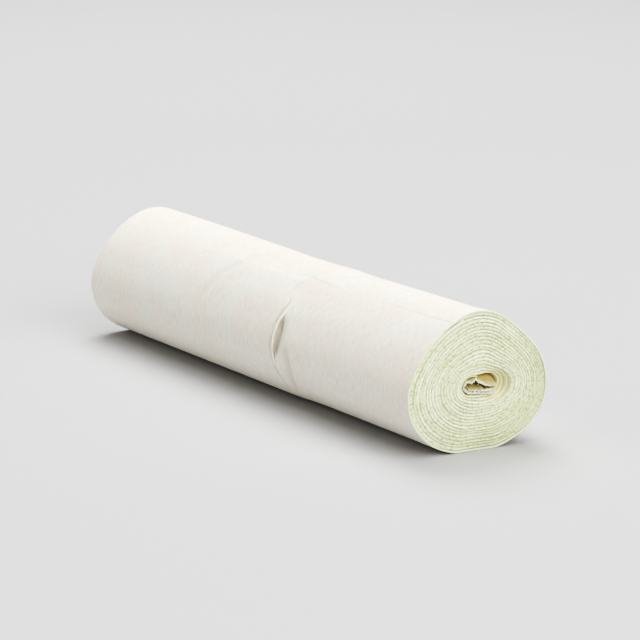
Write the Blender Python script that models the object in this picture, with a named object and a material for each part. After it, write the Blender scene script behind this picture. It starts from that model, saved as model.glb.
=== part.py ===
"""Gauze bandage roll: one strip of open-wove cotton wound on itself, lying on its flattened side.

Metres, +Z up. The roll's axis runs along X, its near end is at +X and it rests on z = 0. The tables
and the functions of the shape are in millimetres. A bearing goes round the axis in degrees: 0 is +Y,
90 is up, 180 is -Y and 270 is down. The strip winds outwards as the bearing grows.
"""
import math
from collections import namedtuple

import bmesh
import bpy
from mathutils import Vector

MM = 0.001

# Driving sizes
STRIP_WIDTH = 100.0      # the cloth's cut width, which is the roll's length
LAYER = 0.27             # one turn of cloth, as it lies in the roll
CORE_Y = 1.31            # the slit at the core, beside the roll's middle
CORE_Z = 9.77            # and above the surface it lies on
MAIN_TWISTS = 8          # wide turns that stand for the strip's fine ones on each end
TWIST_DEPTH = 0.55       # how far the grooves between them go in
MOUTH_WIDTH = 0.16       # share of the wall, from the core out, that slopes into the slit
MOUTH_DEPTH = 1.3        # how far it slopes in
COLUMN_STEP = 6          # degrees between the mesh's columns round the roll
FREE_EDGE = 119.0        # bearing of the strip's end on the near half
HIDDEN_EDGE = 237.0      # and on the far half, where it is underneath
EDGE_WIDTH = 1.4         # degrees over which the surface steps down at the end

# The roll's outline and its core slit, as radii about the core
Radius = namedtuple("Radius", "bearing outline core")
SECTION = [
    Radius(0, 11.2, 4.2),
    Radius(20, 10.65, 3.1),
    Radius(40, 10.05, 2.4),
    Radius(60, 9.95, 2.0),
    Radius(80, 10.6, 1.8),
    Radius(100, 11.05, 1.8),
    Radius(120, 11.1, 2.0),
    Radius(140, 11.4, 2.5),
    Radius(160, 12.1, 3.3),
    Radius(180, 12.95, 4.1),
    Radius(200, 12.95, 3.4),
    Radius(220, 12.2, 2.6),
    Radius(240, 11.05, 2.1),
    Radius(260, 10.3, 1.95),
    Radius(280, 10.07, 2.0),
    Radius(300, 10.2, 2.5),
    Radius(320, 10.8, 3.5),
    Radius(340, 11.3, 4.7),
]

# The slit narrows as it goes in from each end
CorePocket = namedtuple("CorePocket", "depth share")
CORE_POCKET = [
    CorePocket(8.5, 0.0),
    CorePocket(8.0, 0.30),
    CorePocket(5.0, 0.55),
    CorePocket(2.6, 0.80),
]

# On the far half the strip's last layer reaches further round. Its side edge runs down the girth here
Edge = namedtuple("Edge", "bearing x")
GIRTH_EDGE = [
    Edge(0, 10.8),
    Edge(112, 10.2),
    Edge(119, 10.0),
    Edge(128, 9.2),
    Edge(138, 9.8),
    Edge(149, 10.7),
    Edge(161, 12.2),
    Edge(175, 13.1),
    Edge(188, 12.4),
    Edge(200, 11.2),
    Edge(216, 10.8),
    Edge(360, 10.8),
]

# Folds that run beside the girth edge: from its first to its last bearing, each at an offset from the edge
EdgeFold = namedtuple("EdgeFold", "name offset half_width first last height")
EDGE_FOLDS = [
    EdgeFold("corner ridge", -2.1, 1.3, 88, 150, 0.45),
    EdgeFold("rim ridge", -0.8, 0.8, 128, 232, 0.25),
    EdgeFold("lifted lip", -1.1, 0.7, 152, 196, 0.65),
    EdgeFold("crease behind the lip", -2.9, 0.8, 146, 216, -0.35),
    EdgeFold("slit under the lip", 0.5, 0.7, 156, 194, -0.85),
    EdgeFold("trough past the edge", 3.6, 1.5, 180, 226, -0.25),
]

# Folds across the roll that are free of the edge: X at the first and at the last bearing
RollFold = namedtuple("RollFold", "name first_x last_x half_width first last height")
ROLL_FOLDS = [
    RollFold("swelling at the free end", 12.0, 12.0, 5.0, 84, 119, 0.30),
    RollFold("far wrinkle", -8.0, -14.5, 1.8, 98, 178, -0.30),
    RollFold("far wrinkle's shoulder", -4.6, -11.0, 2.0, 94, 172, 0.16),
    RollFold("faint wrinkle on the back", 4.0, -3.0, 2.4, 12, 84, -0.18),
]

# Where the mesh has a section along the roll, close together at the folds
SIDE_STATIONS = [
    50, 49, 46, 40, 33, 27, 22, 18.5, 16.5, 15, 14, 13.1, 12.3, 11.6, 11.0, 10.5, 10.0, 9.3, 8.6, 7.8,
    6.8, 5, 2, -2, -4.5, -6.5, -8.3, -10, -11.7, -13.5, -16, -20, -28, -38, -46, -49, -50,
]
STATION_DRIFT = 9.0      # how far from the edge the sections still follow its path
EDGE_MIDDLE = 10.8       # X where the sections are closest

# Finish
GAUZE_COLOUR = (0.86, 0.83, 0.75, 1.0)
GAUZE_ROUGHNESS = 0.95


def smooth_step(share):
    share = min(max(share, 0.0), 1.0)
    return share * share * (3.0 - 2.0 * share)


def hill(distance, half_width):
    return math.exp(-(distance / half_width) ** 2)


def swell(bearing, first, last):
    """0 at the first and the last bearing, and 1 halfway between them."""
    share = (bearing - first) / (last - first)
    return math.sin(math.pi * share) if 0.0 < share < 1.0 else 0.0


def section_radius(column, bearing):
    """A smooth closed curve through one column of SECTION (Catmull-Rom)."""
    step = 360.0 / len(SECTION)
    row, share = divmod((bearing % 360.0) / step, 1.0)
    before, start, end, after = (
        getattr(SECTION[(int(row) + offset) % len(SECTION)], column) for offset in (-1, 0, 1, 2)
    )
    return 0.5 * (
        2.0 * start
        + (end - before) * share
        + (2.0 * before - 5.0 * start + 4.0 * end - after) * share ** 2
        + (3.0 * start - before - 3.0 * end + after) * share ** 3
    )


def edge_x(bearing):
    """X of the last layer's side edge, along the girth."""
    for start, end in zip(GIRTH_EDGE, GIRTH_EDGE[1:]):
        if bearing <= end.bearing:
            share = smooth_step((bearing - start.bearing) / (end.bearing - start.bearing))
            return start.x + (end.x - start.x) * share
    return GIRTH_EDGE[-1].x


def layer_height(bearing, x):
    """The spiral's growth in one turn, with the last layer's extra cover on the far half."""
    growth = ((bearing - FREE_EDGE) % 360.0) / 360.0 - 0.5
    cover = smooth_step((edge_x(bearing) - x) / 0.5 + 0.5)
    past_free_edge = smooth_step((bearing - FREE_EDGE) / EDGE_WIDTH + 0.5)
    before_hidden_edge = smooth_step((HIDDEN_EDGE - bearing) / EDGE_WIDTH + 0.5)
    return LAYER * (growth + cover * past_free_edge * before_hidden_edge)


def fold_height(bearing, x):
    height = 0.0
    for fold in EDGE_FOLDS:
        distance = x - edge_x(bearing) - fold.offset
        height += fold.height * swell(bearing, fold.first, fold.last) * hill(distance, fold.half_width)
    for fold in ROLL_FOLDS:
        share = (bearing - fold.first) / (fold.last - fold.first)
        fold_x = fold.first_x + (fold.last_x - fold.first_x) * share
        height += fold.height * swell(bearing, fold.first, fold.last) * hill(x - fold_x, fold.half_width)
    return height


def outer_radius(bearing, x):
    """The roll's surface, cut off level where it lies on its flat spot."""
    radius = section_radius("outline", bearing) + layer_height(bearing, x) + fold_height(bearing, x)
    fall = -math.sin(math.radians(bearing))
    return min(radius, CORE_Z / fall) if fall > 0.0 else radius


def side_station(bearing, station):
    """The mesh's sections lean with the girth edge near it, and are straight further away."""
    nearness = max(0.0, 1.0 - abs(station - EDGE_MIDDLE) / STATION_DRIFT)
    return station + (edge_x(bearing) - EDGE_MIDDLE) * smooth_step(nearness)


def place(bearing, radius, x):
    angle = math.radians(bearing)
    height = max(CORE_Z + radius * math.sin(angle), 0.0)
    return Vector((x, CORE_Y + radius * math.cos(angle), height)) * MM


def core_point(end, pocket, bearing):
    depth = STRIP_WIDTH / 2 - MOUTH_DEPTH - pocket.depth
    return place(bearing, section_radius("core", bearing) * pocket.share, end * depth)


def twist_point(end, line, bearing):
    """A point of the spiral on one end. Even lines are the turns' crests, odd ones the grooves."""
    across = (line - 2 + 2.0 * bearing / 360.0) / (2 * MAIN_TWISTS)
    across = min(max(across, 0.0), 1.0)
    face = STRIP_WIDTH / 2
    core = section_radius("core", bearing)
    radius = core + (outer_radius(bearing, end * face) - core) * across
    mouth = MOUTH_DEPTH * max(0.0, 1.0 - across / MOUTH_WIDTH) ** 2
    edge_fade = min(1.0, 2 * MAIN_TWISTS * across, 2 * MAIN_TWISTS * (1.0 - across))
    unevenness = 1.0 + 0.25 * math.sin(math.radians(3.0 * bearing + 400.0 * across))
    groove = TWIST_DEPTH * unevenness * edge_fade if line % 2 else 0.0
    return place(bearing, radius, end * (face - mouth - groove))


def side_point(station, bearing):
    x = side_station(bearing, station)
    return place(bearing, outer_radius(bearing, x), x)


def profile():
    """One lengthwise cut through the roll, from the near core to the far core, as point functions."""
    twist_lines = range(2 * MAIN_TWISTS + 3)
    rows = [(core_point, (+1, pocket)) for pocket in CORE_POCKET]
    rows += [(twist_point, (+1, line)) for line in twist_lines]
    rows += [(side_point, (station,)) for station in SIDE_STATIONS]
    rows += [(twist_point, (-1, line)) for line in reversed(twist_lines)]
    rows += [(core_point, (-1, pocket)) for pocket in reversed(CORE_POCKET)]
    return rows


def columns():
    """Bearings once round the roll, with two close together where the strip's end steps down."""
    half_step = EDGE_WIDTH / 2
    even = [bearing for bearing in range(0, 361, COLUMN_STEP) if abs(bearing - FREE_EDGE) > 2]
    return sorted(even + [FREE_EDGE - half_step, FREE_EDGE + half_step])


def gauze_material():
    material = bpy.data.materials.new("open-wove cotton")
    material.use_nodes = True
    shader = material.node_tree.nodes["Principled BSDF"]
    shader.inputs["Base Color"].default_value = GAUZE_COLOUR
    shader.inputs["Roughness"].default_value = GAUZE_ROUGHNESS
    shader.inputs["Metallic"].default_value = 0.0
    return material


def make_gauze_roll():
    """A flat grid is wrapped round the profile: its columns are bearings and its rows profile points."""
    rows = profile()
    bearings = columns()
    bm = bmesh.new()
    bmesh.ops.create_grid(bm, x_segments=len(bearings) - 1, y_segments=len(rows) - 1, size=1.0)
    for vertex in bm.verts:
        column = round((vertex.co.x + 1.0) / 2.0 * (len(bearings) - 1))
        row = round((vertex.co.y + 1.0) / 2.0 * (len(rows) - 1))
        point, settings = rows[row]
        vertex.co = point(*settings, bearings[column])
    bmesh.ops.remove_doubles(bm, verts=bm.verts, dist=0.001 * MM)
    bmesh.ops.recalc_face_normals(bm, faces=bm.faces)
    bmesh.ops.triangulate(bm, faces=bm.faces, quad_method="SHORT_EDGE")
    mesh = bpy.data.meshes.new("gauze_roll")
    bm.to_mesh(mesh)
    bm.free()
    mesh.shade_smooth()
    mesh.set_sharp_from_angle(angle=math.radians(40.0))
    mesh.materials.append(gauze_material())
    roll = bpy.data.objects.new("gauze_roll", mesh)
    bpy.context.scene.collection.objects.link(roll)
    return roll


def main():
    for item in list(bpy.data.objects):
        bpy.data.objects.remove(item, do_unlink=True)
    make_gauze_roll()


main()
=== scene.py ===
"""Looks of the gauze bandage roll: one strip of open-wove cotton, wound on itself and lying on its side.

The shape's functions are in millimetres and degrees. The roll's axis runs along X, its near end is at +X.
A bearing goes round the axis: 0 is +Y, 90 is up, 180 is -Y and 270 is down. The strip winds outwards as
its winding angle grows, and its free end on the near half lies at the winding angle FREE_EDGE.
"""

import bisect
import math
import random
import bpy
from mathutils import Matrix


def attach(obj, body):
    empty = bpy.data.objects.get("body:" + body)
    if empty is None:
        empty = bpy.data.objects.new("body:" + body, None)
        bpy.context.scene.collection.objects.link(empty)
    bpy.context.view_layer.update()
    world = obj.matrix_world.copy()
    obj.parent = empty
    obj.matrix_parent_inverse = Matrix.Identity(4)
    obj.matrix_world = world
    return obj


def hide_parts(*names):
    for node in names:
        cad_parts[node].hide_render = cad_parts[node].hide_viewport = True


bl_info = {
    "name": "Gauze bandage roll",
    "version": (1, 0, 0),
    "blender": (4, 5, 0),
    "location": "3D View > Sidebar > Gauze roll",
    "description": "Dresses the packed gauze roll as a wound strip of open-wove cotton",
    "category": "Object",
}

from collections import namedtuple

import bmesh
import bpy
import numpy as np
from mathutils import Matrix, Vector, noise

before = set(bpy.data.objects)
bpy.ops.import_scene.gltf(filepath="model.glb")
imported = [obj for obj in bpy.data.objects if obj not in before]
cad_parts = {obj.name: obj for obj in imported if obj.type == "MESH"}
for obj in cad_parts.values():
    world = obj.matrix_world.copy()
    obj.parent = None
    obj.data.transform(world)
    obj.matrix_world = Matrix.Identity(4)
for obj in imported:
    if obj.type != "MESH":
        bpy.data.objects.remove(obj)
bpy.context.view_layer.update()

MM = 0.001
NODE = "gauze_roll"
BODY = "root"
CLOTH_UV = "cloth_mm"
COLOUR_A, COLOUR_B, COLOUR_OUT = 6, 7, 2     # sockets of the Mix node, when it mixes colours

# Driving sizes. The width, the core's place and the bearings of the strip's end are the solid's
STRIP_WIDTH = 100.0
END = STRIP_WIDTH / 2
CORE_Y = 1.31
CORE_Z = 9.77
FREE_EDGE = 119.0        # bearing of the strip's end on the near half
HIDDEN_EDGE = 237.0      # and on the far half, where it is underneath
TURNS = 19               # turns from the core to the free end, at 0.40 to 0.53 mm a turn
CORE_START = FREE_EDGE - 360.0 * TURNS
LAST_TURN = FREE_EDGE - 360.0
LAST_STEP = 0.30         # the last turn is drawn tighter than those under it
TURN_FILL = 0.97         # share of its room that a turn's thickness takes up
TURN_WANDER = 0.17       # how far the inner turns stray from an even spacing
HALF_STEP = 0.145        # how far the last layer sinks, and the one under it rises, at an edge
END_REACH = 26.0         # degrees over which they do so at the strip's end
END_FLARE = 0.22         # how far the outermost turns spread at the near end
FLOOR_CLEARANCE = 0.01
NO_FLOOR = 1000.0        # a radius that no cloth reaches

# How far in from the full width the cut edges lie, and how unevenly
CUT_SETBACK = 0.14
DISH = 0.20
STAGGER = 0.10
WAVINESS = 0.05

# The outline is the solid's, within a tenth of a millimetre. The core is where the innermost turn lies,
# inside the solid's plain slit
Radius = namedtuple("Radius", "bearing outline core")
SECTION = [
    Radius(0, 11.2, 3.9),
    Radius(20, 10.65, 3.1),
    Radius(40, 10.05, 2.2),
    Radius(60, 9.95, 1.8),
    Radius(80, 10.6, 1.65),
    Radius(100, 11.05, 1.6),
    Radius(120, 11.1, 1.75),
    Radius(140, 11.4, 2.3),
    Radius(160, 12.1, 3.15),
    Radius(180, 13.05, 3.7),
    Radius(200, 13.05, 3.4),
    Radius(220, 12.3, 2.6),
    Radius(240, 11.1, 2.05),
    Radius(260, 10.3, 1.85),
    Radius(280, 10.0, 1.85),
    Radius(300, 10.2, 2.1),
    Radius(320, 10.8, 2.7),
    Radius(340, 11.3, 3.5),
]

# A line laid round the roll is a row of places: bearing, X
# The last layer's side edge on the near half, from the free end's corner down to where it is hidden
GIRTH_EDGE = [
    (0, 10.9), (112, 10.9), (119, 10.9), (123, 10.0), (128, 9.4), (134, 9.15), (140, 9.4), (146, 10.4),
    (152, 11.1), (158, 11.3), (164, 11.3), (168, 11.35), (174, 11.5), (181, 11.6), (187, 11.5), (194, 11.6),
    (200, 11.8), (208, 12.4), (220, 12.9), (237, 12.9), (360, 10.9),
]
EDGE_MIDDLE = 10.8       # X where the last layer's rows are closest
STATION_DRIFT = 9.0      # how far from the edge the rows still follow its path
POCKET_FIRST = 155.0     # the side edge stands open over the pocket between these bearings
POCKET_LAST = 190.0

# Folds of the last layer and of the one under it. Each runs along its own line, and little light reaches
# the bottom of the deep narrow ones: shade goes from 0 to 1
Fold = namedtuple("Fold", "name layer half_width height shade first last line")
FOLDS = [
    Fold("crease along the hem", "top", 0.24, -0.05, 0.22, 117, 147,
         [(117, 10.5), (123, 9.6), (128, 9.05), (134, 8.8), (140, 9.0), (147, 10.0)]),
    Fold("rolled lip", "top", 0.48, 0.46, 0.0, 152, 196,
         [(152, 10.9), (156, 11.1), (162, 11.1), (168, 11.1), (174, 11.3), (181, 11.4), (190, 11.4),
          (196, 11.5)]),
    Fold("crease above the lip", "top", 0.26, -0.34, 0.50, 143, 171,
         [(144, 10.1), (150, 10.4), (157, 10.1), (165, 9.8), (168, 9.6), (172, 9.5)]),
    Fold("crease behind the lip", "top", 0.26, -0.40, 0.55, 167, 216,
         [(167, 10.4), (173, 10.2), (178, 10.05), (183, 10.1), (187, 10.35), (194, 11.0), (200, 11.2),
          (214, 12.2)]),
    Fold("pocket under the lip", "under", 0.80, -0.52, 0.55, 161, 187,
         [(161, 11.0), (165, 11.1), (170, 11.3), (175, 11.35), (180, 11.2), (187, 11.0)]),
    Fold("slope up from the pocket", "under", 1.10, -0.20, 0.20, 160, 188,
         [(160, 12.0), (165, 12.3), (173, 12.5), (180, 12.2), (188, 11.9)]),
    Fold("trough past the pocket", "under", 1.0, -0.27, 0.36, 176, 214,
         [(177, 13.9), (183, 14.2), (188, 14.6), (194, 14.8), (203, 14.5), (214, 14.1)]),
    Fold("near side of the trough", "under", 0.60, 0.12, 0.0, 178, 214,
         [(178, 12.7), (184, 13.1), (190, 13.4), (196, 13.6), (204, 13.4), (214, 13.1)]),
    Fold("swelling at the free end", "top", 4.4, 0.16, 0.0, 62, 119, [(62, 11.5), (119, 9.5)]),
    Fold("slack along the top", "top", 26.0, -0.36, 0.0, 20, 125, [(20, 5.0), (119, 5.0)]),
    Fold("far wrinkle", "top", 1.1, -0.36, 0.10, 98, 178,
         [(98, -5.5), (125, -9.1), (148, -12.2), (178, -15.0)]),
    Fold("far wrinkle's shoulder", "top", 1.4, 0.20, 0.0, 94, 172,
         [(94, -3.6), (125, -7.0), (148, -10.0), (172, -12.6)]),
    Fold("faint wrinkle on the back", "top", 2.4, -0.18, 0.0, 12, 84, [(12, 4.0), (84, -3.0)]),
]

# Shade on the cloth just under the free end, beside its corner and further along
EndShade = namedtuple("EndShade", "x half_width depth")
END_SHADES = [EndShade(13.5, 3.6, 0.45), EndShade(36.0, 8.0, 0.22)]

# Where the cut edges are frayed most, at the lower right: the grooves between them are deeper there
Fray = namedtuple("Fray", "bearing half_width share")
FRAYED = [Fray(280.0, 35.0, 1.0), Fray(335.0, 40.0, 0.5), Fray(5.0, 30.0, 0.4)]

# Each light's size and place, in metres. Its power is a setting of the stage
Light = namedtuple("Light", "setting size place")
LIGHTS = [
    Light("overhead", 1.3, (0.0, 0.1, 1.1)),
    Light("right", 1.0, (0.9, 0.3, 0.6)),
    Light("back", 0.6, (-0.5, 0.25, 0.7)),
    Light("end", 0.8, (1.0, -0.3, 0.25)),
    Light("left", 0.8, (-0.2, -0.9, 0.35)),
]

# The card's way forward, and the metres along it between which it is painted paler: painted light,
# for the floor lit more brightly in front of the roll
CARD_FORWARD = (0.857, -0.515, 0.0)
CARD_CHANGE = (-0.25, 0.15)

# The picture's tone curve: light, picture
TONE = [
    (0.05, 0.018), (0.10, 0.055), (0.20, 0.235), (0.30, 0.400), (0.45, 0.587), (0.60, 0.731), (0.80, 0.883),
]
ALL_CHANNELS = 3         # the curve that works on red, green and blue together

# Stretches of cut edge that stand a little proud of their neighbours and catch the light
ProudEdge = namedtuple("ProudEdge", "turn first last height")
PROUD_EDGES = [
    ProudEdge(7.5, 190, 216, 0.14),
    ProudEdge(6.5, 192, 214, 0.14),
    ProudEdge(9.5, 218, 330, 0.12),
    ProudEdge(11.5, 100, 160, 0.10),
    ProudEdge(13.5, 20, 110, 0.10),
    ProudEdge(16.5, 128, 200, 0.08),
]

# The innermost end of the strip, folded flat in the slit: across and up from the core, and in from the end
CORE_FOLD = [
    (3.1, -0.5, 1.6), (2.5, -0.55, 1.4), (1.9, -0.48, 1.2), (1.3, -0.36, 1.0), (0.8, -0.2, 0.8),
    (0.3, 0.06, 0.7), (-0.2, 0.3, 0.6), (-0.7, 0.55, 0.55), (-1.15, 0.9, 0.5), (-1.5, 0.66, 0.5),
    (-1.9, 0.5, 0.5), (-2.35, 0.6, 0.5), (-2.75, 0.66, 0.5), (-3.1, 0.32, 0.5), (-3.3, -0.04, 0.5),
    (-3.1, -0.5, 0.5), (-2.5, -0.95, 0.5), (-1.6, -1.14, 0.5), (-0.6, -1.22, 0.5), (0.4, -1.34, 0.5),
    (1.3, -1.38, 0.5), (1.9, -1.32, 0.5), (2.15, -1.18, 0.5), (1.9, -1.02, 0.5), (1.4, -0.98, 0.5),
    (0.9, -0.9, 0.5),
    (0.5, -0.98, 0.5), (0.1, -0.85, 0.5), (-0.4, -0.94, 0.55), (-1.0, -0.84, 0.65), (-1.7, -0.8, 0.8),
    (-2.3, -0.74, 1.0),
]
CORE_FOLD_STEPS = 9      # mesh columns from one point of the fold to the next
CORE_TONGUE = 25         # the point where the loose tongue in the lower half starts
CORE_FOLD_RECESS = 0.5
CORE_FOLD_SHARE = 0.35   # thickness of the fold's pressed cloth, as a share of the loose cloth's
CORE_ROOF = 1.15         # the slit's roof over the core, at its middle
CORE_HALF_WIDTH = 3.5
# Painted shade: how much further in recessed cloth counts, for the darker straw colour of deep cloth
PAINTED_DEPTH_SHADE = 0.3         # how much deeper cloth counts as, for its colour, where it starts further in

# Loose threads that cross the slit: across, up and in from the near end
LOOSE_THREADS = [
    [(-1.15, 1.15, 0.5), (-0.8, 0.8, 0.6), (-0.45, 0.35, 0.6), (0.0, 0.1, 0.5), (0.4, -0.1, 0.4)],
    [(-0.5, 0.4, 0.6), (-0.75, 0.15, 0.5), (-0.95, 0.05, 0.45)],
    [(-2.6, 0.5, 0.6), (-2.2, 0.9, 0.5), (-1.7, 1.05, 0.5)],
    [(0.3, -0.8, 0.5), (0.6, -1.1, 0.4), (0.95, -0.9, 0.35)],
    [(-0.1, -0.9, 0.5), (0.05, -1.25, 0.4)],
    [(1.0, -0.95, 0.4), (1.2, -1.2, 0.4), (1.5, -1.1, 0.45)],
]


# ---------------------------------------------------------------- shape of the roll


def smooth_step(share):
    share = min(max(share, 0.0), 1.0)
    return share * share * (3.0 - 2.0 * share)


def hill(distance, half_width):
    return math.exp(-(distance / half_width) ** 2)


def easing(distance, reach):
    """1 at the middle, where it has a crest, and 0 from reach on."""
    return max(0.0, 1.0 - abs(distance) / reach) ** 2


def swell(bearing, first, last):
    """0 at the first and the last bearing, and 1 halfway between them."""
    share = (bearing - first) / (last - first)
    return math.sin(math.pi * share) if 0.0 < share < 1.0 else 0.0


def section_radius(column, bearing):
    """A smooth closed curve through one column of SECTION (Catmull-Rom)."""
    step = 360.0 / len(SECTION)
    row, share = divmod((bearing % 360.0) / step, 1.0)
    before, start, end, after = (
        getattr(SECTION[(int(row) + offset) % len(SECTION)], column) for offset in (-1, 0, 1, 2)
    )
    return 0.5 * (
        2.0 * start
        + (end - before) * share
        + (2.0 * before - 5.0 * start + 4.0 * end - after) * share ** 2
        + (3.0 * start - before - 3.0 * end + after) * share ** 3
    )


def along_line(line, bearing):
    """X of a line laid round the roll, at a bearing: a smooth curve through its places."""
    last = len(line) - 1
    index = bisect.bisect_right(line, (bearing, math.inf)) - 1
    if index < 0 or index >= last:
        return line[max(index, 0)][1]
    (start, start_x), (end, end_x) = line[index], line[index + 1]
    before, after = line[max(index - 1, 0)], line[min(index + 2, last)]
    span = end - start
    start_rise = (end_x - before[1]) / (end - before[0]) * span
    end_rise = (after[1] - start_x) / (after[0] - start) * span
    share = (bearing - start) / span
    bend = start_rise + end_rise - 2.0 * (end_x - start_x)
    return start_x + share * (start_rise + share * (end_x - start_x - start_rise - bend + share * bend))


def edge_x(bearing):
    """X of the last layer's side edge, along the girth."""
    return along_line(GIRTH_EDGE, bearing % 360.0)


def settling(winding, x):
    """The last layer sinks half a layer towards its own edges, and the turn under it rises as much past
    them, so that little of a step is left. The side edge stays open at the pocket."""
    on_top = winding > 0.0
    spot = winding if on_top else winding + 360.0
    past_side = x - edge_x(spot)
    near_half = smooth_step(past_side / 1.2 + 0.5)
    free_end = easing(spot - FREE_EDGE, END_REACH) * near_half
    hidden_end = easing(spot - HIDDEN_EDGE, END_REACH) * (1.0 - near_half)
    pocket = smooth_step((spot - POCKET_FIRST) / 9.0) * smooth_step((POCKET_LAST - spot) / 9.0)
    reach = 2.6 + 5.0 * smooth_step((spot - 196.0) / 20.0)
    side_edge = easing(past_side, reach) * (1.0 - pocket) * smooth_step((spot - FREE_EDGE + 6.0) / 6.0)
    side_edge *= smooth_step((HIDDEN_EDGE + 16.0 - spot) / 16.0)
    shift = HALF_STEP * max(free_end, side_edge, hidden_end)
    # Beside its corner the free end stays up a little
    return 0.09 * hill(x - 13.0, 4.0) * free_end - shift if on_top else shift


def end_flare(winding, x):
    """The turns spread a little at their near cut edges, but for the lower side, and the outer ones most."""
    bearing = winding % 360.0
    upper_left = smooth_step((bearing - 40.0) / 40.0) * smooth_step((225.0 - bearing) / 35.0)
    return END_FLARE * upper_left * smooth_step((x - 44.0) / 6.0) * turn_of(winding) / TURNS


def floor_limit(bearing):
    """How far out the cloth can be at a bearing before it meets the surface under the roll."""
    fall = -math.sin(math.radians(bearing))
    return (CORE_Z - FLOOR_CLEARANCE) / fall if fall > 0.2 else NO_FLOOR


def turn_of(winding):
    """Turns from the core to a winding angle: 0 at the core, TURNS at the free end."""
    return (winding - FREE_EDGE) / 360.0 + TURNS


def layer_radius(winding):
    """The cloth's outer face at a winding angle, without folds."""
    outline = min(section_radius("outline", winding), floor_limit(winding))
    core = section_radius("core", winding)
    turns_in = TURNS - turn_of(winding)
    if turns_in <= 1.0:
        return outline + LAST_STEP * (0.5 - turns_in)
    last_but_one = outline - 0.5 * LAST_STEP
    radius = last_but_one - (last_but_one - core) / (TURNS - 1) * (turns_in - 1.0)
    calm_outside = min(1.0, (turns_in - 1.0) / 2.0)
    angle = math.radians(winding)
    spot = Vector((math.cos(angle) * 1.6, math.sin(angle) * 1.6, turns_in * 0.7))
    return radius + TURN_WANDER * calm_outside * noise.noise(spot)


def fold_shares(winding, x, layer):
    """The folds at a place, each with a share from 0 at its ends and far sides to 1 at its middle."""
    bearing = winding % 360.0
    for fold in FOLDS:
        if fold.layer == layer and fold.first < bearing < fold.last:
            along = math.sqrt(swell(bearing, fold.first, fold.last))
            yield fold, along * hill(x - along_line(fold.line, bearing), fold.half_width)


def fold_height(winding, x, layer):
    return sum(fold.height * share for fold, share in fold_shares(winding, x, layer))


def fold_shade(winding, x, layer):
    """How much of the light is lost at a place, from 0 to 1: in the folds, and just under the free end."""
    shades = [fold.shade * smooth_step(1.3 * share) for fold, share in fold_shares(winding, x, layer)]
    if layer == "under":
        past_end = winding + 360.0 - FREE_EDGE
        deepest = max(shade.depth * hill(x - shade.x, shade.half_width) for shade in END_SHADES)
        shades.append(hill(past_end - 0.5, 0.9) * deepest)
    return max([0.0, *shades])


def place(winding, radius, x):
    """A point in the roll, in metres."""
    angle = math.radians(winding)
    return Vector((x, CORE_Y + radius * math.cos(angle), CORE_Z + radius * math.sin(angle))) * MM


# ---------------------------------------------------------------- mesh helpers


def grid(columns, rows):
    """A flat grid whose points know their column and row: a bmesh and a list of (vertex, column, row)."""
    bm = bmesh.new()
    bmesh.ops.create_grid(bm, x_segments=columns - 1, y_segments=rows - 1, size=1.0)
    bm.verts.ensure_lookup_table()
    found = [
        (v, round((v.co.x + 1.0) / 2.0 * (columns - 1)), round((v.co.y + 1.0) / 2.0 * (rows - 1)))
        for v in bm.verts
    ]
    return bm, found


def set_share(bm, name, shares):
    """Writes a number from 0 to 1 for the material at each vertex, from the vertices' indices."""
    layer = bm.verts.layers.float.new(name)
    for vertex in bm.verts:
        vertex[layer] = min(max(shares[vertex.index], 0.0), 1.0)


def set_cloth_uv(bm, cloth_place):
    """Writes the UV map in millimetres of flat cloth, from each vertex's (along, across)."""
    layer = bm.loops.layers.uv.new(CLOTH_UV)
    for face in bm.faces:
        for loop in face.loops:
            loop[layer].uv = cloth_place[loop.vert.index]


def add_piece(name, mesh, material):
    """Makes a mesh one of the pieces that stand for the solid."""
    mesh.materials.append(material)
    piece = bpy.data.objects.new(name, mesh)
    bpy.context.scene.collection.objects.link(piece)
    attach(piece, BODY)
    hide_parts(NODE)
    return piece


def finish_cloth(name, bm, material, smooth_angle=None):
    mesh = bpy.data.meshes.new(name)
    bm.to_mesh(mesh)
    bm.free()
    mesh.shade_smooth()
    if smooth_angle is not None:
        mesh.set_sharp_from_angle(angle=math.radians(smooth_angle))
    return add_piece(name, mesh, material)


def curve_through(points, steps):
    """A smooth open line through given points (Catmull-Rom), with steps between each pair."""
    line = []
    last = len(points) - 1
    for index in range(last):
        p0, p1 = points[max(index - 1, 0)], points[index]
        p2, p3 = points[index + 1], points[min(index + 2, last)]
        for step in range(steps):
            t = step / steps
            line.append(tuple(
                0.5 * (
                    2 * b + (c - a) * t + (2 * a - 5 * b + 4 * c - d) * t * t
                    + (3 * b - a - 3 * c + d) * t ** 3
                )
                for a, b, c, d in zip(p0, p1, p2, p3)
            ))
    line.append(tuple(points[last]))
    return line


# ---------------------------------------------------------------- materials


def linear(hex_colour):
    """An sRGB hex colour as a linear one with alpha."""
    values = [int(hex_colour[i:i + 2], 16) / 255.0 for i in (1, 3, 5)]
    return [v / 12.92 if v <= 0.04045 else ((v + 0.055) / 1.055) ** 2.4 for v in values] + [1.0]


def add_node(tree, kind, inputs=None, **settings):
    """Adds a shader node: its settings by name, and its inputs as values or as sockets to link."""
    new = tree.nodes.new(kind)
    for name, value in settings.items():
        setattr(new, name, value)
    for name, value in (inputs or {}).items():
        if isinstance(value, bpy.types.NodeSocket):
            tree.links.new(value, new.inputs[name])
        else:
            new.inputs[name].default_value = value
    return new


def start_material(name, finish):
    """A new material, its node tree and its shader. The finish is numbers for the shader's own sockets."""
    material = bpy.data.materials.new(name)
    material.use_nodes = True
    shader = material.node_tree.nodes["Principled BSDF"]
    for socket, value in finish.items():
        shader.inputs[socket].default_value = value
    return material, material.node_tree, shader


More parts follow.
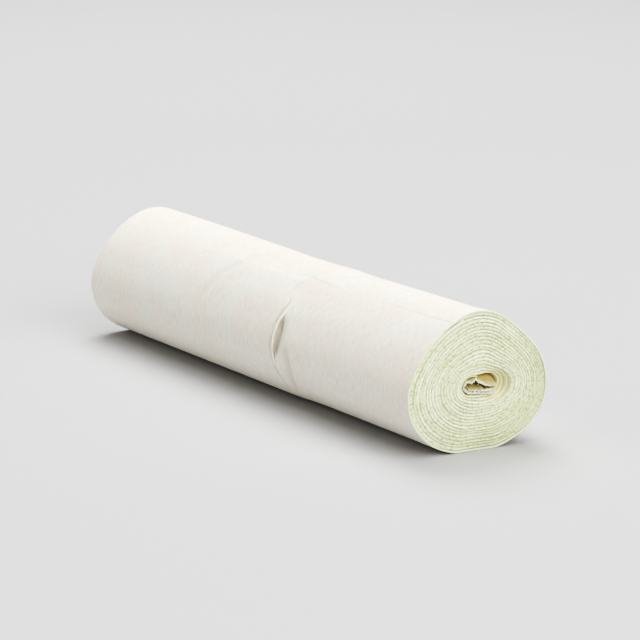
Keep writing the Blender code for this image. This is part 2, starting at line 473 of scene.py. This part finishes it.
def thread_wave(tree, position, pitch):
    """0 between threads and 1 on their crests, across threads of one direction, pitch in mm."""
    phase = add_node(tree, "ShaderNodeMath", {0: position, 1: 2.0 * math.pi / pitch}, operation="MULTIPLY")
    wave = add_node(tree, "ShaderNodeMath", {0: phase.outputs[0]}, operation="SINE")
    return add_node(
        tree, "ShaderNodeMath", {0: wave.outputs[0], 1: 0.5, 2: 0.5}, operation="MULTIPLY_ADD"
    ).outputs[0]


def gauze_material(colours, sizes, name, inside):
    """Bleached open-wove cotton: matt soft threads a fraction of a millimetre apart, warm white, and
    pale green at the cut edges. Inside the roll the cloth is painted darker and straw-coloured away from
    its edge: painted shade down between the turns and in the core. On the face the cloth is painted
    towards the pocket colour in its folds and under the free end (painted shade), and inside the roll
    the cut edges of proud turns are painted paler (painted highlight). The real threads are too fine to
    show, so they are drawn as coarse as they need to be."""
    material, tree, shader = start_material(name, {
        "Roughness": 0.92, "Specular IOR Level": 0.25, "Sheen Weight": 0.12, "Sheen Roughness": 0.6,
    })
    uv = add_node(tree, "ShaderNodeUVMap", uv_map=CLOTH_UV).outputs[0]

    # Threads wander by a tenth of a millimetre or two, so no row of them is straight
    drift = add_node(
        tree, "ShaderNodeTexNoise", {"Vector": uv, "Scale": 0.8, "Detail": 2.0}, noise_dimensions="2D"
    ).outputs["Color"]
    wander = add_node(tree, "ShaderNodeVectorMath", {0: drift, 1: (0.5, 0.5, 0.0)}, operation="MULTIPLY")
    wandering = add_node(tree, "ShaderNodeVectorMath", {0: uv, 1: wander.outputs[0]}, operation="ADD")
    parts = add_node(tree, "ShaderNodeSeparateXYZ", {0: wandering.outputs[0]})
    # Fine pleats run round the roll with the long threads, so the cross threads show less
    weft = thread_wave(tree, parts.outputs[0], sizes.weft_pitch / MM)
    warp = thread_wave(tree, parts.outputs[1], sizes.warp_pitch / MM)
    weft_share = add_node(tree, "ShaderNodeMath", {0: weft, 1: 0.45}, operation="MULTIPLY").outputs[0]
    threads = add_node(tree, "ShaderNodeMath", {0: weft_share, 1: warp}, operation="MAXIMUM").outputs[0]
    stretched = add_node(tree, "ShaderNodeVectorMath", {0: uv, 1: (0.5, 1.5, 1.0)}, operation="MULTIPLY")
    crimp = add_node(
        tree, "ShaderNodeTexNoise", {"Vector": stretched.outputs[0], "Scale": 1.5, "Detail": 4.0},
        noise_dimensions="2D",
    ).outputs["Fac"]
    weave = add_node(
        tree, "ShaderNodeMath", {0: threads, 1: 0.30, 2: crimp}, operation="MULTIPLY_ADD"
    ).outputs[0]

    flat_parts = add_node(tree, "ShaderNodeSeparateXYZ", {0: uv})
    across = add_node(tree, "ShaderNodeMath", {0: flat_parts.outputs[1]}, operation="ABSOLUTE").outputs[0]
    if inside:
        # Painted shade: the inside cloth is painted darker and more straw-coloured the further it is from its
        # cut edge, for the light lost down between the turns and in the core
        depth = add_node(
            tree, "ShaderNodeMapRange", {"Value": across, "From Min": END - 0.5, "From Max": END - 2.6}
        ).outputs[0]
        cloth = add_node(
            tree, "ShaderNodeMix",
            {"Factor": depth, COLOUR_A: linear(colours.gap), COLOUR_B: linear(colours.deep)},
            data_type="RGBA",
        ).outputs[COLOUR_OUT]
        # The middle of a turn's edge is paler along some arcs: painted highlight where the turn stands proud,
        # and a paler tone on the innermost turns. Olive specks of painted shade, where a thread is missing
        # and the hole is in shade, lie between the pale lines
        on_roll = add_node(tree, "ShaderNodeTexCoord").outputs["Object"]
        in_mm = add_node(tree, "ShaderNodeVectorMath", {0: on_roll, 1: (1.0 / MM,) * 3}, operation="MULTIPLY")
        fibres = add_node(
            tree, "ShaderNodeTexNoise", {"Vector": in_mm.outputs[0], "Scale": 2.4, "Detail": 3.0}
        ).outputs["Fac"]
        specks = add_node(
            tree, "ShaderNodeMapRange",
            {"Value": fibres, "From Min": 0.50, "From Max": 0.66, "To Max": 0.75},
        ).outputs[0]
        specked = add_node(
            tree, "ShaderNodeMix",
            {"Factor": specks, COLOUR_A: linear(colours.edge_shade), COLOUR_B: linear(colours.missing_thread_shade)},
            data_type="RGBA",
        ).outputs[COLOUR_OUT]
        paleness = add_node(tree, "ShaderNodeAttribute", attribute_name="paleness").outputs["Fac"]
        crest = add_node(
            tree, "ShaderNodeMix",
            {"Factor": paleness, COLOUR_A: specked, COLOUR_B: linear(colours.edge_light)},
            data_type="RGBA",
        ).outputs[COLOUR_OUT]
    else:
        patches = add_node(
            tree, "ShaderNodeTexNoise", {"Vector": uv, "Scale": 0.14, "Detail": 3.0}, noise_dimensions="2D"
        ).outputs["Fac"]
        mottle = add_node(
            tree, "ShaderNodeMapRange", {"Value": patches, "From Min": 0.3, "From Max": 0.7}
        ).outputs[0]
        mottled = add_node(
            tree, "ShaderNodeMix",
            {"Factor": mottle, COLOUR_A: linear(colours.cloth_warm), COLOUR_B: linear(colours.cloth_cool)},
            data_type="RGBA",
        ).outputs[COLOUR_OUT]
        thread_shade = add_node(
            tree, "ShaderNodeMapRange", {"Value": weave, "From Min": 0.35, "From Max": 0.95, "To Min": 0.86}
        ).outputs[0]
        woven = add_node(
            tree, "ShaderNodeMix", {"Factor": 1.0, COLOUR_A: mottled, COLOUR_B: thread_shade},
            data_type="RGBA", blend_type="MULTIPLY",
        ).outputs[COLOUR_OUT]
        # Painted shade: the face is painted towards the pocket colour by its fold shade, down in the pocket,
        # the creases and the trough, and just under the free end
        pocket = add_node(tree, "ShaderNodeAttribute", attribute_name="pocket").outputs["Fac"]
        cloth = add_node(
            tree, "ShaderNodeMix", {"Factor": pocket, COLOUR_A: woven, COLOUR_B: linear(colours.pocket)},
            data_type="RGBA",
        ).outputs[COLOUR_OUT]
        crest = linear(colours.edge_shade)
    cut_edge = add_node(
        tree, "ShaderNodeMapRange", {"Value": across, "From Min": END - 0.34, "From Max": END - 0.06}
    ).outputs[0]
    colour = add_node(
        tree, "ShaderNodeMix", {"Factor": cut_edge, COLOUR_A: cloth, COLOUR_B: crest}, data_type="RGBA"
    ).outputs[COLOUR_OUT]
    tree.links.new(colour, shader.inputs["Base Color"])
    bump = add_node(tree, "ShaderNodeBump", {"Height": weave, "Strength": 0.5, "Distance": 0.06 * MM})
    tree.links.new(bump.outputs[0], shader.inputs["Normal"])
    return material


def thread_material(colours):
    """Cut cotton thread ends: matt soft fibre, from pale green to nearly white, one end to the next."""
    material, tree, shader = start_material(
        "cut cotton thread ends", {"Roughness": 0.9, "Specular IOR Level": 0.25}
    )
    tone = add_node(tree, "ShaderNodeAttribute", attribute_name="tone").outputs["Fac"]
    colour = add_node(
        tree, "ShaderNodeMix",
        {"Factor": tone, COLOUR_A: linear(colours.edge_shade), COLOUR_B: linear(colours.thread_light)},
        data_type="RGBA",
    ).outputs[COLOUR_OUT]
    tree.links.new(colour, shader.inputs["Base Color"])
    return material


def card_material(stage):
    """Matt pale card with hardly any gloss, painted a little paler in front of the roll than behind it:
    painted light.
    """
    material, tree, shader = start_material("matt pale card", {"Roughness": 0.9, "Specular IOR Level": 0.1})
    on_card = add_node(tree, "ShaderNodeTexCoord").outputs["Object"]
    forward = add_node(
        tree, "ShaderNodeVectorMath", {0: on_card, 1: CARD_FORWARD}, operation="DOT_PRODUCT"
    ).outputs["Value"]
    share = add_node(
        tree, "ShaderNodeMapRange", {"Value": forward, "From Min": CARD_CHANGE[0], "From Max": CARD_CHANGE[1]}
    ).outputs[0]
    colour = add_node(
        tree, "ShaderNodeMix",
        {"Factor": share, COLOUR_A: linear(stage.card_low), COLOUR_B: linear(stage.card_high)},
        data_type="RGBA",
    ).outputs[COLOUR_OUT]
    tree.links.new(colour, shader.inputs["Base Color"])
    return material


# ---------------------------------------------------------------- the strip


def winding_steps(first, last, spacing):
    """Winding angles from first to last, about spacing millimetres of cloth apart, with the lengths."""
    windings, lengths = [first], [0.0]
    while windings[-1] < last:
        radius = layer_radius(windings[-1])
        step = min(math.degrees(spacing / radius), last - windings[-1])
        windings.append(windings[-1] + step)
        lengths.append(lengths[-1] + radius * math.radians(step))
    return windings, lengths


def mouth_recess(winding):
    """How far the innermost turns stay in from the ends: a funnel on the right of the slit."""
    turn = turn_of(winding)
    right_side = hill((winding + 180.0) % 360.0 - 180.0 + 5.0, 50.0)
    return 0.55 * max(0.0, 1.0 - turn / 2.2) ** 1.3 + 1.35 * right_side * smooth_step((3.7 - turn) / 1.9)


def turn_stagger(winding, end):
    """From about -0.5 to 0.5: how one turn's cut edge stands against its neighbours', along long arcs."""
    angle = math.radians(winding)
    return noise.noise(
        Vector((turn_of(winding) * 1.37, math.cos(angle) * 0.7, math.sin(angle) * 0.7 + 3.0 * end))
    )


def cut_edge_x(winding, end):
    """X of the strip's cut edge at a winding angle: the turns don't line up quite."""
    turn = turn_of(winding)
    bearing = winding % 360.0
    share = min(turn / TURNS, 1.0)
    mouth = mouth_recess(winding)
    dish = DISH * (1.0 - share)
    stagger = STAGGER * turn_stagger(winding, end)
    waviness = WAVINESS * noise.noise(Vector((winding / 22.0, 0.5, 9.0 * end)))
    proud = 0.0
    if end > 0:
        for edge in PROUD_EDGES:
            if abs(turn - edge.turn) < 0.5:
                proud = max(proud, edge.height * swell(bearing, edge.first, edge.last) ** 0.5)
    return END - CUT_SETBACK - mouth - dish + stagger + waviness + proud


def groove_depth(winding):
    """How deep the grooves between the cut edges are, from 1: the outer turns are pressed thin at the lower
    right, where their edges are more frayed."""
    bearing = winding % 360.0
    frayed = sum(spot.share * hill(bearing - spot.bearing, spot.half_width) for spot in FRAYED)
    return 1.0 + 3.0 * frayed * smooth_step((turn_of(winding) - 5.0) / 12.0)


def make_wound_turns(sizes, colours):
    """Every turn but the last: a closed band, thick in the middle and thinner at its cut edges."""
    windings, lengths = winding_steps(CORE_START, LAST_TURN - 6.0, sizes.weft_pitch / MM)
    # Points round one cut of the band, outer side: end, mm in from the cut edge, share of the thickness
    ring = [
        (+1, 0.0, 0.10), (+1, 0.02, 0.40), (+1, 0.10, 0.95), (+1, 9.0, 1.0),
        (-1, 9.0, 1.0), (-1, 0.10, 0.95), (-1, 0.02, 0.40), (-1, 0.0, 0.10),
    ]
    rows = len(ring) * 2
    bm, found = grid(len(windings), rows + 1)
    draw = random.Random(4)
    jag = {end: [0.02 * draw.uniform(-1, 1) for _ in windings] for end in (+1, -1)}
    edges = {
        end: [cut_edge_x(winding, end) + stray for winding, stray in zip(windings, jag[end])]
        for end in (+1, -1)
    }
    radii = [layer_radius(winding) for winding in windings]
    room_outside = [layer_radius(winding + 360.0) - radius for winding, radius in zip(windings, radii)]
    room_inside = [radius - layer_radius(winding - 360.0) for winding, radius in zip(windings, radii)]
    # Painted highlight: a turn's cut edge is painted paler where the turn stands proud, by the same noise as
    # its stagger; the innermost turns are also a paler tone
    paleness = {
        end: [
            0.8 * smooth_step((turn_stagger(winding, end) + 0.08) / 0.3)
            + 0.5 * smooth_step((4.0 - turn_of(winding)) / 2.0)
            for winding in windings
        ]
        for end in (+1, -1)
    }
    cloth_place = {}
    pale = {}
    for vertex, column, row in found:
        winding = windings[column]
        around = row % rows
        outer_side = around < len(ring)
        end, inward, share = ring[around if outer_side else rows - 1 - around]
        from_edge = inward * groove_depth(winding) if inward < 1.0 else inward
        x = end * (edges[end][column] - from_edge)
        # Each turn fills its room, and the one under the last turn reaches up to it
        under_last = turn_of(winding) > TURNS - 2.03
        top = radii[column] + (max(0.0, room_outside[column] - LAST_STEP - 0.01) if under_last else 0.0)
        bottom = radii[column] - TURN_FILL * room_inside[column]
        half = 0.5 * share * (top - bottom)
        # Away from the cut edges the outer turns lie lower, clear of the last turn's folds
        sunk = 1.1 * smooth_step((inward - 0.6) / 8.0) * smooth_step(turn_of(winding) / TURNS * 2.0 - 1.0)
        middle = 0.5 * (top + bottom) - sunk + end_flare(winding, x)
        radius = middle + (half if outer_side else -half)
        vertex.co = place(winding, radius, x)
        # Painted shade: turns set further in at the slit count as deeper cloth, and are painted its darker
        # straw colour
        shade_depth = PAINTED_DEPTH_SHADE * max(0.0, mouth_recess(winding) - 0.2)
        cloth_place[vertex.index] = (lengths[column], end * (END - inward - shade_depth))
        pale[vertex.index] = paleness[end][column] if inward == 0.0 else 0.0
    set_cloth_uv(bm, cloth_place)
    set_share(bm, "paleness", pale)
    bmesh.ops.remove_doubles(bm, verts=bm.verts, dist=0.0005 * MM)
    bmesh.ops.holes_fill(bm, edges=[e for e in bm.edges if e.is_boundary], sides=0)
    bmesh.ops.recalc_face_normals(bm, faces=bm.faces)
    material = gauze_material(colours, sizes, "open-wove cotton, cut edge", inside=True)
    piece = finish_cloth("wound_turns", bm, material, smooth_angle=60.0)
    return piece, lengths[-1] * MM


def outer_windings():
    """Winding angles of the last layer, close together where folds and the free end show."""
    # First and last winding angle, and the step between them: under the free end, the folds, the far half
    fine = [(-243.0, -238.0, 0.5), (-245.0, -120.0, 1.7), (82.0, HIDDEN_EDGE, 1.25)]
    angles = []
    winding = LAST_TURN - 12.0
    while winding < HIDDEN_EDGE:
        angles.append(winding)
        step = next((size for first, last, size in fine if first <= winding < last), 3.0)
        near_free = winding < FREE_EDGE < winding + step
        winding = FREE_EDGE if near_free else winding + step
    angles.append(HIDDEN_EDGE)
    return angles


def outer_stations():
    """X of the last layer's rows, close together beside the girth edge and at the wrinkle."""
    spans = [
        (-END, -END + 0.6, 0.3), (-END + 0.6, -20.0, 2.4), (-20.0, -2.0, 0.8), (-2.0, 7.0, 0.8),
        (7.0, EDGE_MIDDLE, 0.13), (EDGE_MIDDLE, 14.0, 0.15), (14.0, 17.6, 0.25), (17.6, 20.0, 0.6),
        (20.0, 43.0, 2.0), (43.0, END - 0.6, 1.0),
        (END - 0.6, END, 0.3),
    ]
    stations = []
    for first, last, spacing in spans:
        count = max(1, round((last - first) / spacing))
        stations += [first + (last - first) * i / count for i in range(count)]
    return stations + [END]


def outer_radius(winding, x):
    """The last layer's outer face, with its folds. Where the layer above covers it, it stays below that."""
    layer = "top" if winding > 0.0 else "under"
    radius = layer_radius(winding) + fold_height(winding, x, layer) + settling(winding, x)
    above = winding + 360.0
    covered = above <= FREE_EDGE or (above <= HIDDEN_EDGE and x < edge_x(winding))
    if layer == "under" and covered:
        radius = min(radius, layer_radius(above) + fold_height(above, x, "top") + settling(above, x) - 0.01)
    return min(radius + end_flare(winding, x), floor_limit(winding))


def make_outer_turn(sizes, colours):
    """The last turn and its free end: further round on the far half, puckered where its edge turns."""
    windings = outer_windings()
    stations = outer_stations()
    edge_row = min(range(len(stations)), key=lambda row: abs(stations[row] - EDGE_MIDDLE))
    bm, found = grid(len(windings), len(stations))
    lengths = [0.0]
    for before, after in zip(windings, windings[1:]):
        lengths.append(lengths[-1] + layer_radius(before) * math.radians(after - before))
    draw = random.Random(11)
    fray = [0.05 * draw.uniform(-1, 1) for _ in range(len(windings) + len(stations))]
    cloth_place = {}
    pocket = {}
    cut_away = set()
    for vertex, column, row in found:
        winding, station = windings[column], stations[row]
        nearness = max(0.0, 1.0 - abs(station - EDGE_MIDDLE) / STATION_DRIFT)
        x = station + (edge_x(winding) - EDGE_MIDDLE) * smooth_step(nearness)
        cloth_place[vertex.index] = (lengths[column], x)
        if row in (0, len(stations) - 1):
            x -= math.copysign(CUT_SETBACK + fray[column], x)
        if row == edge_row and winding > FREE_EDGE:
            x += fray[column]
        vertex.co = place(winding, outer_radius(winding, x), x)
        # Painted shade: how far this place is painted towards the pocket colour
        pocket[vertex.index] = fold_shade(winding, x, "top" if winding > 0.0 else "under")
        if winding > FREE_EDGE and row > edge_row:
            cut_away.add(vertex.index)
    set_cloth_uv(bm, cloth_place)
    set_share(bm, "pocket", pocket)
    bmesh.ops.delete(bm, geom=[vertex for vertex in bm.verts if vertex.index in cut_away], context="VERTS")
    bmesh.ops.recalc_face_normals(bm, faces=bm.faces)
    sample = max(bm.faces, key=lambda face: face.calc_center_median().z)
    if sample.normal.z < 0.0:
        bmesh.ops.reverse_faces(bm, faces=bm.faces)
    material = gauze_material(colours, sizes, "open-wove cotton, face", inside=False)
    piece = finish_cloth("outer_turn", bm, material)
    thickness = piece.modifiers.new("cloth", "SOLIDIFY")
    thickness.thickness = TURN_FILL * LAST_STEP * MM
    thickness.offset = -1.0
    thickness.use_even_offset = False
    return piece, lengths[-1] * MM


def make_core_fold(sizes, colours):
    """The strip's innermost end, folded and crumpled in the slit at the core."""
    crumpled = []
    for index, (across, up, recess) in enumerate(curve_through(CORE_FOLD, CORE_FOLD_STEPS)):
        crumple = 0.07 * math.sin(index * 0.9) + 0.07 * math.sin(index * 1.9 + 1.0)
        crumpled.append((across, up + crumple * smooth_step(index / 30.0), recess))
    lengths = [0.0]
    for before, after in zip(crumpled, crumpled[1:]):
        lengths.append(lengths[-1] + math.dist(before[:2], after[:2]))
    depths = [0.0, 0.2, 0.5, 1.0, 1.6, 2.4, 3.4, 7.0, 18.0, 35.0]
    bm, found = grid(len(crumpled), 2 * len(depths) + 1)
    draw = random.Random(5)
    fray = [0.09 * draw.uniform(-1, 1) for _ in crumpled]
    leftmost = min(range(len(crumpled)), key=lambda index: crumpled[index][0])
    tongue = CORE_TONGUE * CORE_FOLD_STEPS
    cloth_place = {}
    for vertex, column, row in found:
        across, up, recess = crumpled[column]
        side = 1.0 if row < len(depths) else -1.0
        edge = END - recess + fray[column]
        inward = (depths + [edge])[min(row, 2 * len(depths) - row)]
        x = side * (edge - inward)
        droop = 0.25 * noise.noise(Vector((column / 9.0, x / 6.0, 2.0)))
        # Further in, the upper layer bulges up to the slit's roof, and the tongue rises to close the slit
        upper = smooth_step((leftmost - 6.0 - column) / 12.0)
        room = max(0.0, 0.98 * CORE_ROOF * math.sqrt(max(0.0, 1.0 - (across / CORE_HALF_WIDTH) ** 2)) - up)
        deep_again = smooth_step((30.0 - inward) / 20.0)
        bulge = room * upper * smooth_step((inward - 0.1) / 1.4)
        rise = 0.75 * smooth_step((column - tongue) / 12.0) * smooth_step((inward - 0.2) / 1.2)
        up += (bulge + rise) * deep_again + droop * min(1.0, (END - abs(x)) / 6.0)
        vertex.co = Vector((x, CORE_Y + across, CORE_Z + up)) * MM
        # Painted shade: the fold's cloth is painted darker and straw-coloured faster than the turns' is,
        # being deeper in the slit
        shade_depth = PAINTED_DEPTH_SHADE * max(0.0, recess - CORE_FOLD_RECESS)
        cloth_place[vertex.index] = (lengths[column], side * (END - 3.4 * inward - shade_depth))
    set_cloth_uv(bm, cloth_place)
    set_share(bm, "paleness", {vertex.index: 0.6 for vertex in bm.verts})
    bmesh.ops.recalc_face_normals(bm, faces=bm.faces)
    material = gauze_material(colours, sizes, "open-wove cotton, innermost end", inside=True)
    piece = finish_cloth("core_fold", bm, material)
    thickness = piece.modifiers.new("cloth", "SOLIDIFY")
    thickness.thickness = CORE_FOLD_SHARE * sizes.cloth
    thickness.offset = 0.0
    return piece, lengths[-1] * MM


def make_thread_ends(sizes, colours):
    """Short ends of the weft threads, cut off at both edges of the strip: one tapered stub, repeated."""
    stub = bmesh.new()
    bmesh.ops.create_cone(
        stub, cap_ends=True, segments=5, radius1=0.5, radius2=0.3, depth=1.0,
        matrix=Matrix.Translation((0, 0, 0.5)),
    )
    shape = np.array([v.co[:] for v in stub.verts])
    faces = [[v.index for v in face.verts] for face in stub.faces]
    stub.free()
    draw = random.Random(23)
    points, polygons, tones = [], [], []

    def add_stub(base, way, length, thick, tone):
        turn_to = way.to_track_quat("Z", "Y").to_matrix()
        start = len(points) * len(shape)
        points.append((shape * (thick, thick, length)) @ np.array(turn_to).T + np.array(base))
        polygons.extend([start + i for i in face] for face in faces)
        tones.extend([tone] * len(shape))

    windings, _ = winding_steps(CORE_START, FREE_EDGE, sizes.weft_pitch / MM)
    for end in (+1, -1):
        for winding in windings:
            # One thread in four is cut off flush
            if draw.random() < 0.25:
                continue
            radius = layer_radius(winding) - 0.5 * sizes.cloth / MM + draw.uniform(-0.14, 0.14)
            base = place(winding + draw.uniform(-1, 1), radius, end * (cut_edge_x(winding, end) - 0.05))
            lean = Vector((end * 1.0, draw.gauss(0, 0.55), draw.gauss(0, 0.55)))
            length = sizes.thread_end * draw.uniform(0.3, 1.0)
            add_stub(base, lean, length, sizes.thread * draw.uniform(0.7, 1.1), draw.random())
    # The innermost end is frayed most
    for across, up, recess in 2 * curve_through(CORE_FOLD, CORE_FOLD_STEPS):
        base = Vector((END - recess - 0.05, CORE_Y + across, CORE_Z + up)) * MM
        lean = Vector((draw.uniform(0.1, 1.0), draw.gauss(0, 0.9), draw.gauss(0.1, 0.9)))
        length = draw.uniform(0.12, 0.42) * MM
        add_stub(base, lean, length, sizes.thread * draw.uniform(0.6, 1.0), draw.random())
    for loose in LOOSE_THREADS:
        spots = [Vector((END - inward, CORE_Y + across, CORE_Z + up)) * MM for across, up, inward in loose]
        for before, after in zip(spots, spots[1:]):
            step = after - before
            add_stub(before - 0.1 * step, step, 1.2 * step.length, 1.2 * sizes.thread, 0.9)
    mesh = bpy.data.meshes.new("thread_ends")
    mesh.from_pydata(np.concatenate(points).tolist(), [], polygons)
    mesh.attributes.new("tone", "FLOAT", "POINT").data.foreach_set("value", tones)
    mesh.shade_smooth()
    return add_piece("thread_ends", mesh, thread_material(colours))


# ---------------------------------------------------------------- settings


class GauzeSizes(bpy.types.PropertyGroup):
    """Sizes of the cloth."""

    cloth: bpy.props.FloatProperty(
        name="Cloth thickness", description="Thickness of one loose layer of gauze", default=0.48 * MM,
        unit="LENGTH",
    )
    warp_pitch: bpy.props.FloatProperty(
        name="Warp spacing", description="Distance between the long threads", default=0.42 * MM,
        unit="LENGTH",
    )
    weft_pitch: bpy.props.FloatProperty(
        name="Weft spacing", description="Distance between the cross threads", default=0.45 * MM,
        unit="LENGTH",
    )
    thread: bpy.props.FloatProperty(
        name="Thread thickness", description="Thickness of one cotton thread", default=0.08 * MM,
        unit="LENGTH",
    )
    thread_end: bpy.props.FloatProperty(
        name="Thread end length", description="How far cut threads stand out", default=0.14 * MM,
        unit="LENGTH",
    )


class GauzeColours(bpy.types.PropertyGroup):
    """Colours of the cloth, as sRGB hex values. Some stand for light: the pocket colour, the specks and
    the colours between turns and deep in the roll are painted shade, and the light cut edge is partly
    painted highlight.
    """

    cloth_warm: bpy.props.StringProperty(
        name="Warm cloth", description="Cloth where it is slightly yellow", default="#FAF2E6"
    )
    cloth_cool: bpy.props.StringProperty(
        name="Cool cloth", description="Cloth where it is whitest", default="#F8F6EC"
    )
    # Painted shade: the colour the face is painted in its folds and under the free end, where little light
    # reaches
    pocket: bpy.props.StringProperty(
        name="Pocket", description="Cloth down in the pocket under the lip", default="#C6C1B2"
    )
    # Painted highlight: the light cut edge is mixed in along proud turns; on the innermost turns and the core
    # fold it is a paler tone
    edge_light: bpy.props.StringProperty(
        name="Light cut edge", description="Cut edge where it is palest", default="#FFFFF7"
    )
    edge_shade: bpy.props.StringProperty(
        name="Shaded cut edge", description="Cut edge where it is greenest", default="#E9EDD2"
    )
    # Painted shade: specks where a thread is missing are painted this darker olive, for the shade in the hole
    missing_thread_shade: bpy.props.StringProperty(
        name="Speck", description="Cut edge where a thread is missing", default="#C2BC8A"
    )
    # Painted shade: inside the roll the cloth goes from the colour between turns to the deep colour, darker
    # and more straw-coloured further from its cut edge
    gap: bpy.props.StringProperty(
        name="Between turns", description="Cloth seen between two turns", default="#ECE7C6"
    )
    deep: bpy.props.StringProperty(
        name="Deep in the roll", description="Cloth seen far down in the core", default="#CDBB8C"
    )
    thread_light: bpy.props.StringProperty(
        name="Thread end", description="Cut thread ends where they are palest", default="#FAFBF0"
    )


class GauzeStage(bpy.types.PropertyGroup):
    """The camera, the card under the roll, and the lights."""

    lens: bpy.props.FloatProperty(name="Lens", description="Camera's focal length in mm", default=188.0)
    camera_place: bpy.props.FloatVectorProperty(
        name="Camera", description="Camera's place", default=(0.44604, -0.26474, 0.12301), unit="LENGTH"
    )
    camera_heading: bpy.props.FloatProperty(
        name="Heading", description="Way the camera looks, from +X", default=math.radians(149.0),
        unit="ROTATION",
    )
    camera_dip: bpy.props.FloatProperty(
        name="Dip", description="How far the camera looks down", default=math.radians(12.25),
        unit="ROTATION",
    )
    # Painted light: the card is painted from the colour behind to the paler one in front
    card_low: bpy.props.StringProperty(
        name="Card behind", description="Card behind the roll", default="#C3C3C4"
    )
    card_high: bpy.props.StringProperty(
        name="Card in front", description="Card before the roll", default="#CCCCCC"
    )
    overhead: bpy.props.FloatProperty(
        name="Overhead", description="Power of the light above, in W", default=7.0
    )
    right: bpy.props.FloatProperty(
        name="Right", description="Power of the light on the right, in W", default=5.0
    )
    back: bpy.props.FloatProperty(
        name="Back", description="Power of the light behind, in W", default=3.8
    )
    end: bpy.props.FloatProperty(
        name="End", description="Power of the near end's light, in W", default=2.9
    )
    left: bpy.props.FloatProperty(
        name="Left", description="Power of the light on the long side, in W", default=2.0
    )


# ---------------------------------------------------------------- operators


class GAUZE_OT_wound_turns(bpy.types.Operator):
    """Winds the strip's inner turns"""

    bl_idname = "gauze.wound_turns"
    bl_label = "Wound turns"

    def execute(self, context):
        scene = context.scene
        piece, length = make_wound_turns(scene.gauze_sizes, scene.gauze_colours)
        threads = make_thread_ends(scene.gauze_sizes, scene.gauze_colours)
        print("wound turns, flat length:", round(length, 4))
        return {"FINISHED"}


class GAUZE_OT_outer_turn(bpy.types.Operator):
    """Lays the strip's last turn with its free end"""

    bl_idname = "gauze.outer_turn"
    bl_label = "Outer turn"

    def execute(self, context):
        scene = context.scene
        piece, length = make_outer_turn(scene.gauze_sizes, scene.gauze_colours)
        print("outer turn, flat length:", round(length, 4))
        return {"FINISHED"}


class GAUZE_OT_core_fold(bpy.types.Operator):
    """Folds the strip's innermost end in the core"""

    bl_idname = "gauze.core_fold"
    bl_label = "Core fold"

    def execute(self, context):
        scene = context.scene
        piece, length = make_core_fold(scene.gauze_sizes, scene.gauze_colours)
        print("core fold, flat length:", round(length, 4))
        return {"FINISHED"}


class GAUZE_OT_stage(bpy.types.Operator):
    """Sets the camera, the pale card under the roll and the studio lights"""

    bl_idname = "gauze.stage"
    bl_label = "Stage"

    def execute(self, context):
        scene = context.scene
        stage = scene.gauze_stage
        make_camera(scene, stage)
        make_card(stage)
        make_lights(scene, stage)
        set_tone(scene)
        return {"FINISHED"}


def make_camera(scene, stage):
    data = bpy.data.cameras.new("camera")
    data.lens = stage.lens
    data.sensor_width = 36.0
    data.clip_start = 0.01
    camera = bpy.data.objects.new("camera", data)
    camera.location = stage.camera_place
    heading, dip = stage.camera_heading, stage.camera_dip
    look = Vector((math.cos(heading) * math.cos(dip), math.sin(heading) * math.cos(dip), -math.sin(dip)))
    camera.rotation_euler = look.to_track_quat("-Z", "Y").to_euler()
    scene.collection.objects.link(camera)
    scene.camera = camera


def make_card(stage):
    bm = bmesh.new()
    bmesh.ops.create_circle(bm, cap_ends=True, segments=96, radius=4.0)
    mesh = bpy.data.meshes.new("card")
    bm.to_mesh(mesh)
    bm.free()
    mesh.materials.append(card_material(stage))
    card = bpy.data.objects.new("card", mesh)
    bpy.context.scene.collection.objects.link(card)


def make_lights(scene, stage):
    """Soft round lights that point at the roll, in a room that is dark otherwise."""
    for light in LIGHTS:
        data = bpy.data.lights.new(light.setting + " softbox", "AREA")
        data.energy = getattr(stage, light.setting)
        data.shape = "DISK"
        data.size = light.size
        softbox = bpy.data.objects.new(data.name, data)
        softbox.location = light.place
        softbox.rotation_euler = (-Vector(light.place)).to_track_quat("-Z", "Y").to_euler()
        scene.collection.objects.link(softbox)
    world = bpy.data.worlds.new("dark room")
    world.use_nodes = True
    world.node_tree.nodes["Background"].inputs["Strength"].default_value = 0.0
    scene.world = world


def set_tone(scene):
    """A soft shoulder, as a camera gives pale things on a pale ground: x is light and y is picture."""
    settings = scene.view_settings
    settings.view_transform = "Standard"
    settings.use_curve_mapping = True
    curve = settings.curve_mapping.curves[ALL_CHANNELS]
    for light, picture in TONE:
        curve.points.new(light, picture)
    settings.curve_mapping.update()


class GAUZE_PT_panel(bpy.types.Panel):
    """Lists the roll's settings and the buttons that make its pieces"""

    bl_label = "Gauze roll"
    bl_idname = "GAUZE_PT_panel"
    bl_space_type = "VIEW_3D"
    bl_region_type = "UI"
    bl_category = "Gauze roll"

    def draw(self, context):
        for settings in SCENE_SETTINGS:
            group = getattr(context.scene, settings)
            for name in group.bl_rna.properties.keys():
                if name not in ("rna_type", "name"):
                    self.layout.prop(group, name)
        for operator in OPERATORS:
            self.layout.operator(operator.bl_idname)


OPERATORS = (GAUZE_OT_stage, GAUZE_OT_wound_turns, GAUZE_OT_outer_turn, GAUZE_OT_core_fold)
SCENE_SETTINGS = {"gauze_sizes": GauzeSizes, "gauze_colours": GauzeColours, "gauze_stage": GauzeStage}
CLASSES = (*SCENE_SETTINGS.values(), *OPERATORS, GAUZE_PT_panel)


def register():
    for item in CLASSES:
        bpy.utils.register_class(item)
    for name, group in SCENE_SETTINGS.items():
        setattr(bpy.types.Scene, name, bpy.props.PointerProperty(type=group))


def unregister():
    for name in SCENE_SETTINGS:
        delattr(bpy.types.Scene, name)
    for item in reversed(CLASSES):
        bpy.utils.unregister_class(item)


def main():
    register()
    bpy.ops.gauze.stage()
    bpy.ops.gauze.wound_turns()
    bpy.ops.gauze.outer_turn()
    bpy.ops.gauze.core_fold()


if __name__ == "__main__":
    main()
